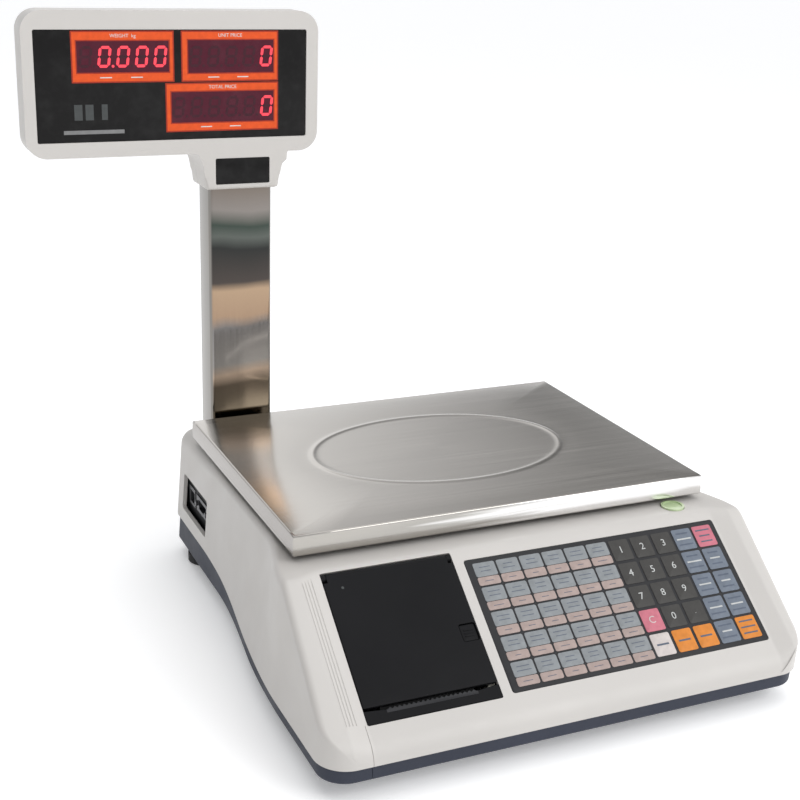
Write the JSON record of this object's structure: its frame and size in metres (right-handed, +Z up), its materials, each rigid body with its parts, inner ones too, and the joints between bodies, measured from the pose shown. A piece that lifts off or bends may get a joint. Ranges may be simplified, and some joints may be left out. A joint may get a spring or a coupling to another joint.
{
  "type": "retail price scale",
  "caption": "Counter price scale with a steel pan, a sloped keypad console, a receipt printer under a hinged cover, and a red LED display head on a column.",
  "frame": {"origin": "middle of the whole scale's bounding box, on the counter under its feet", "axes": "+X to the operator's right, +Y away from the operator towards the column, +Z up"},
  "size_m": [0.4284, 0.3742, 0.412],
  "materials": {
    "white_plastic": "fine-textured satin warm white ABS",
    "slate_plastic": "fine-textured dark slate plastic",
    "foot_rubber": "matt black rubber",
    "screw_steel": "zinc-plated steel",
    "pan_steel": "brushed stainless sheet",
    "column_steel": "polished stainless tube",
    "cast_aluminium": "sand-cast and machined aluminium",
    "black_plastic": "fine-textured black ABS",
    "smoked_window": "glossy smoked acrylic",
    "led_module": "red seven-segment module",
    "keypad_film": "printed polyester film",
    "circuit_board": "green solder mask",
    "paper": "thermal paper",
    "nylon": "natural nylon",
    "battery_case": "black battery case",
    "level_vial": "green spirit in a clear vial",
    "cable_jacket": "soft black jacket"
  },
  "bodies": {
    "base": {"top_housing": "white_plastic", "display_front_bezel": "white_plastic", "display_rear_cover": "white_plastic", "base_tray": "slate_plastic", "housing_screw_front_left": "screw_steel", "housing_screw_front_right": "screw_steel", "housing_screw_back_left": "screw_steel", "housing_screw_back_right": "screw_steel", "column_bracket": "screw_steel", "cover_hinge_pin": "screw_steel", "stepper_motor": "screw_steel", "serial_port": "screw_steel", "network_port": "screw_steel", "column_tube": "column_steel", "load_cell": "cast_aluminium", "cell_base_block": "cast_aluminium", "thermal_head": "cast_aluminium", "printer_bay": "black_plastic", "tear_bar": "black_plastic", "side_port_plate": "black_plastic", "power_inlet": "black_plastic", "switch_frame": "black_plastic", "front_window": "smoked_window", "rear_window": "smoked_window", "neck_panel": "smoked_window", "front_led_weight": "led_module", "front_led_unit_price": "led_module", "front_led_total_price": "led_module", "rear_led_weight": "led_module", "rear_led_unit_price": "led_module", "rear_led_total_price": "led_module", "keypad_overlay": "keypad_film", "front_display_board": "circuit_board", "rear_display_board": "circuit_board", "keypad_board": "circuit_board", "main_board": "circuit_board", "power_supply": "circuit_board", "paper_spindle": "nylon", "battery": "battery_case", "bubble_level": "level_vial", "display_cable": "cable_jacket"},
    "platform": {"cell_top_block": "cast_aluminium", "pan_spider": "cast_aluminium", "pan_pad_front_left": "foot_rubber", "pan_pad_front_right": "foot_rubber", "pan_pad_back_left": "foot_rubber", "pan_pad_back_right": "foot_rubber"},
    "pan": {"weighing_pan": "pan_steel"},
    "cover": {"printer_cover": "black_plastic"},
    "release_button": {"cover_release_button": "black_plastic"},
    "platen": {"platen_roller": "foot_rubber", "platen_gear": "nylon"},
    "idler": {"idler_gear": "nylon"},
    "pinion": {"motor_pinion": "nylon"},
    "paper": {"paper_roll": "paper"},
    "rocker": {"power_rocker": "black_plastic"},
    "foot_front_left": {"levelling_foot_front_left": "foot_rubber"},
    "foot_front_right": {"levelling_foot_front_right": "foot_rubber"},
    "foot_back_left": {"levelling_foot_back_left": "foot_rubber"},
    "foot_back_right": {"levelling_foot_back_right": "foot_rubber"}
  },
  "joints": [
    {"name": "platform_deflection", "type": "slide", "parent": "base", "child": "platform", "axis": [0, 0, 1], "range_m": [-0.0005, 0], "stiffness_N_per_m": 294000, "springref_m": 0.00005},
    {"name": "pan_lift_off", "type": "slide", "parent": "platform", "child": "pan", "axis": [0, 0, 1], "range_m": [0, 0.1]},
    {"name": "cover_hinge", "type": "hinge", "parent": "base", "child": "cover", "pos_m": [-0.0502, -0.09404, 0.09545], "axis": [-1, 0, 0], "range_deg": [0, 95]},
    {"name": "release_button_press", "type": "slide", "parent": "cover", "child": "release_button", "axis": [0, 0.5962, -0.8028], "range_m": [0, 0.0015], "stiffness_N_per_m": 800, "springref_m": -0.0005},
    {"name": "platen_spin", "type": "hinge", "parent": "base", "child": "platen", "pos_m": [-0.0502, -0.15566, 0.04], "axis": [1, 0, 0], "continuous": true},
    {"name": "idler_spin", "type": "hinge", "parent": "base", "child": "idler", "pos_m": [-0.00821, -0.1437, 0.03442], "axis": [1, 0, 0], "continuous": true},
    {"name": "pinion_spin", "type": "hinge", "parent": "base", "child": "pinion", "pos_m": [-0.00821, -0.13435, 0.02902], "axis": [1, 0, 0], "continuous": true},
    {"name": "paper_roll_spin", "type": "hinge", "parent": "base", "child": "paper", "pos_m": [-0.0502, -0.11567, 0.045], "axis": [1, 0, 0], "continuous": true},
    {"name": "power_rocker_tilt", "type": "hinge", "parent": "base", "child": "rocker", "pos_m": [0.15679, 0.18233, 0.054], "axis": [1, 0, 0], "range_deg": [0, 16]},
    {"name": "foot_front_left_screw", "type": "slide", "parent": "base", "child": "foot_front_left", "axis": [0, 0, -1], "range_m": [0, 0.005]},
    {"name": "foot_front_right_screw", "type": "slide", "parent": "base", "child": "foot_front_right", "axis": [0, 0, -1], "range_m": [0, 0.005]},
    {"name": "foot_back_left_screw", "type": "slide", "parent": "base", "child": "foot_back_left", "axis": [0, 0, -1], "range_m": [0, 0.005]},
    {"name": "foot_back_right_screw", "type": "slide", "parent": "base", "child": "foot_back_right", "axis": [0, 0, -1], "range_m": [0, 0.005]}
  ],
  "couplings": [
    {"joint": "idler_spin", "follows": "platen_spin", "ratio": -0.83333},
    {"joint": "pinion_spin", "follows": "platen_spin", "ratio": 1.6667}
  ]
}
